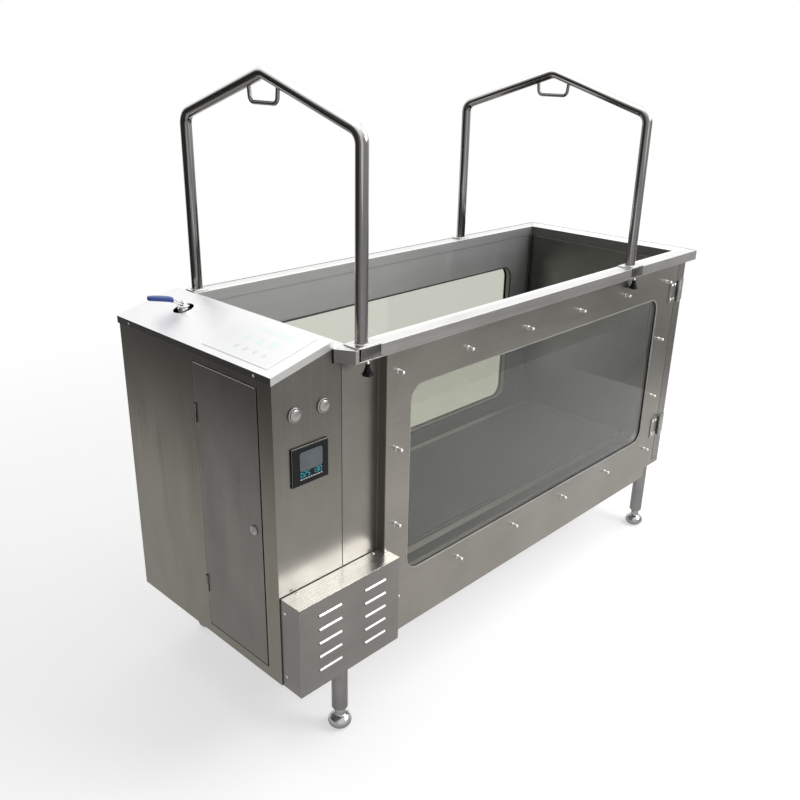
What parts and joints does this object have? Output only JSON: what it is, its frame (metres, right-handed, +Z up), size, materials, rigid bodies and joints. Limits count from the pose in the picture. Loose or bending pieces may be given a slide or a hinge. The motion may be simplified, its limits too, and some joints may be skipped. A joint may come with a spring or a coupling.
{
  "type": "dog underwater treadmill",
  "caption": "Stainless water tank with side windows and an end door, a walking belt inside, a control cabinet at one end, and clamped arches with leash loops over the top.",
  "frame": {"origin": "floor point under the middle of the bounding box", "axes": "+X along the machine from the control cabinet to the entry door, +Y from the side with the controls to the far side, +Z up"},
  "size_m": [2.201, 0.8696, 1.9717],
  "materials": {
    "cabinet_door": "brushed, satin",
    "cabinet_lock": "polished",
    "cabinet_shell": "brushed, satin",
    "circulation_pump": "grey paint",
    "console_lid": "brushed, satin",
    "control_box": "grey paint",
    "control_membrane": "printed film",
    "deck_board": "sealed board, dark",
    "deck_frame": "brushed, satin",
    "display_module": "moulded black",
    "display_screen": "clear window over a grey display",
    "door_latch_lower": "cast, satin",
    "door_latch_upper": "cast, satin",
    "drive_belt": "matt",
    "drive_roller": "cast, satin",
    "entry_door": "brushed, satin",
    "entry_door_liner": "brushed, satin",
    "entry_door_seal": "matt",
    "foot_far_left": "polished",
    "foot_far_right": "polished",
    "foot_near_left": "polished",
    "foot_near_right": "polished",
    "gear_motor": "grey paint",
    "hinge_lower_fixed": "cast, satin",
    "hinge_lower_moving": "cast, satin",
    "hinge_upper_fixed": "cast, satin",
    "hinge_upper_moving": "cast, satin",
    "inlet_pipe": "polished",
    "keeper_lower": "cast, satin",
    "keeper_upper": "cast, satin",
    "left_arch": "polished",
    "left_clamp_knob": "moulded black",
    "leg_far_left": "brushed, satin",
    "leg_far_right": "brushed, satin",
    "leg_near_left": "brushed, satin",
    "leg_near_right": "brushed, satin",
    "motor_pulley": "cast, satin",
    "return_pipe": "grey pipe",
    "right_arch": "polished",
    "right_clamp_knob": "moulded black",
    "rim_channel": "brushed, satin",
    "roller_pulley": "cast, satin",
    "shaft_seal": "matt",
    "start_bezel": "polished",
    "start_button": "polished",
    "stop_bezel": "polished",
    "stop_button": "polished",
    "tail_roller": "cast, satin",
    "tank_shell": "brushed, satin",
    "valve_body": "cast, satin",
    "valve_lever": "blue vinyl sleeve over flat steel",
    "vent_cover": "brushed, satin",
    "walking_belt": "matt",
    "water_heater": "polished",
    "window_pane_far": "clear, slightly green",
    "window_pane_near": "clear, slightly green",
    "window_panel_far": "brushed, satin",
    "window_panel_near": "brushed, satin",
    "window_seal_far": "matt",
    "window_seal_near": "matt"
  },
  "bodies": {
    "frame": {"tank_shell": "tank_shell", "rim_channel": "rim_channel", "window_panel_near": "window_panel_near", "window_panel_far": "window_panel_far", "window_seal_near": "window_seal_near", "window_seal_far": "window_seal_far", "window_pane_near": "window_pane_near", "window_pane_far": "window_pane_far", "entry_door_seal": "entry_door_seal", "hinge_lower_fixed": "hinge_lower_fixed", "hinge_upper_fixed": "hinge_upper_fixed", "keeper_lower": "keeper_lower", "keeper_upper": "keeper_upper", "cabinet_shell": "cabinet_shell", "console_lid": "console_lid", "control_membrane": "control_membrane", "valve_body": "valve_body", "inlet_pipe": "inlet_pipe", "start_bezel": "start_bezel", "stop_bezel": "stop_bezel", "display_module": "display_module", "display_screen": "display_screen", "vent_cover": "vent_cover", "leg_near_left": "leg_near_left", "leg_near_right": "leg_near_right", "leg_far_left": "leg_far_left", "leg_far_right": "leg_far_right", "deck_frame": "deck_frame", "deck_board": "deck_board", "walking_belt": "walking_belt", "drive_belt": "drive_belt", "gear_motor": "gear_motor", "shaft_seal": "shaft_seal", "circulation_pump": "circulation_pump", "return_pipe": "return_pipe", "water_heater": "water_heater", "control_box": "control_box"},
    "entry_door": {"entry_door": "entry_door", "entry_door_liner": "entry_door_liner", "hinge_lower_moving": "hinge_lower_moving", "hinge_upper_moving": "hinge_upper_moving"},
    "door_latch_lower": {"door_latch_lower": "door_latch_lower"},
    "door_latch_upper": {"door_latch_upper": "door_latch_upper"},
    "cabinet_door": {"cabinet_door": "cabinet_door"},
    "cabinet_lock": {"cabinet_lock": "cabinet_lock"},
    "valve_lever": {"valve_lever": "valve_lever"},
    "start_button": {"start_button": "start_button"},
    "stop_button": {"stop_button": "stop_button"},
    "left_arch": {"left_arch": "left_arch"},
    "right_arch": {"right_arch": "right_arch"},
    "left_clamp_knob": {"left_clamp_knob": "left_clamp_knob"},
    "right_clamp_knob": {"right_clamp_knob": "right_clamp_knob"},
    "foot_near_left": {"foot_near_left": "foot_near_left"},
    "foot_near_right": {"foot_near_right": "foot_near_right"},
    "foot_far_left": {"foot_far_left": "foot_far_left"},
    "foot_far_right": {"foot_far_right": "foot_far_right"},
    "drive_roller": {"drive_roller": "drive_roller", "roller_pulley": "roller_pulley"},
    "tail_roller": {"tail_roller": "tail_roller"},
    "motor_pulley": {"motor_pulley": "motor_pulley"}
  },
  "joints": [
    {"name": "entry_door_swing", "type": "hinge", "parent": "frame", "child": "entry_door", "pos_m": [1.0155, -0.3942, 0.3295], "axis": [0, 0, 1], "range_deg": [-110, 0]},
    {"name": "door_latch_lower_turn", "type": "hinge", "parent": "entry_door", "child": "door_latch_lower", "pos_m": [1.0635, 0.3738, 0.5415], "axis": [1, 0, 0], "range_deg": [-90, 0]},
    {"name": "door_latch_upper_turn", "type": "hinge", "parent": "entry_door", "child": "door_latch_upper", "pos_m": [1.0635, 0.3738, 1.0215], "axis": [1, 0, 0], "range_deg": [-90, 0]},
    {"name": "cabinet_door_swing", "type": "hinge", "parent": "frame", "child": "cabinet_door", "pos_m": [-1.096, 0.01, 0.3175], "axis": [0, 0, 1], "range_deg": [-105, 0]},
    {"name": "cabinet_lock_turn", "type": "hinge", "parent": "cabinet_door", "child": "cabinet_lock", "pos_m": [-1.0945, -0.2462, 0.7625], "axis": [1, 0, 0], "range_deg": [0, 90]},
    {"name": "valve_lever_turn", "type": "hinge", "parent": "frame", "child": "valve_lever", "pos_m": [-0.9665, 0.2393, 1.2903], "axis": [0, 0, 1], "range_deg": [-90, 0]},
    {"name": "start_button_press", "type": "slide", "parent": "frame", "child": "start_button", "axis": [0, 1, 0], "range_m": [0, 0.004], "stiffness_N_per_m": 400, "springref_m": -0.001},
    {"name": "stop_button_press", "type": "slide", "parent": "frame", "child": "stop_button", "axis": [0, 1, 0], "range_m": [0, 0.004], "stiffness_N_per_m": 400, "springref_m": -0.001},
    {"name": "left_arch_lift", "type": "slide", "parent": "frame", "child": "left_arch", "axis": [0, 0, 1], "range_m": [0, 0.12]},
    {"name": "right_arch_lift", "type": "slide", "parent": "frame", "child": "right_arch", "axis": [0, 0, 1], "range_m": [0, 0.12]},
    {"name": "left_clamp_knob_turn", "type": "hinge", "parent": "frame", "child": "left_clamp_knob", "pos_m": [-0.8045, -0.3997, 1.1835], "axis": [0, 0, 1], "continuous": true},
    {"name": "right_clamp_knob_turn", "type": "hinge", "parent": "frame", "child": "right_clamp_knob", "pos_m": [0.6105, -0.3997, 1.1835], "axis": [0, 0, 1], "continuous": true},
    {"name": "foot_near_left_height", "type": "slide", "parent": "frame", "child": "foot_near_left", "axis": [0, 0, 1], "range_m": [-0.03, 0]},
    {"name": "foot_near_right_height", "type": "slide", "parent": "frame", "child": "foot_near_right", "axis": [0, 0, 1], "range_m": [-0.03, 0]},
    {"name": "foot_far_left_height", "type": "slide", "parent": "frame", "child": "foot_far_left", "axis": [0, 0, 1], "range_m": [-0.03, 0]},
    {"name": "foot_far_right_height", "type": "slide", "parent": "frame", "child": "foot_far_right", "axis": [0, 0, 1], "range_m": [-0.03, 0]},
    {"name": "drive_roller_spin", "type": "hinge", "parent": "frame", "child": "drive_roller", "pos_m": [-0.7695, 0.0143, 0.4115], "axis": [0, 1, 0], "continuous": true},
    {"name": "tail_roller_spin", "type": "hinge", "parent": "frame", "child": "tail_roller", "pos_m": [0.9405, 0.0143, 0.4115], "axis": [0, 1, 0], "continuous": true},
    {"name": "motor_pulley_spin", "type": "hinge", "parent": "frame", "child": "motor_pulley", "pos_m": [-0.9945, -0.4002, 0.4115], "axis": [0, 1, 0], "continuous": true}
  ],
  "couplings": [
    {"joint": "tail_roller_spin", "follows": "drive_roller_spin", "ratio": 1},
    {"joint": "motor_pulley_spin", "follows": "drive_roller_spin", "ratio": 1.6}
  ]
}
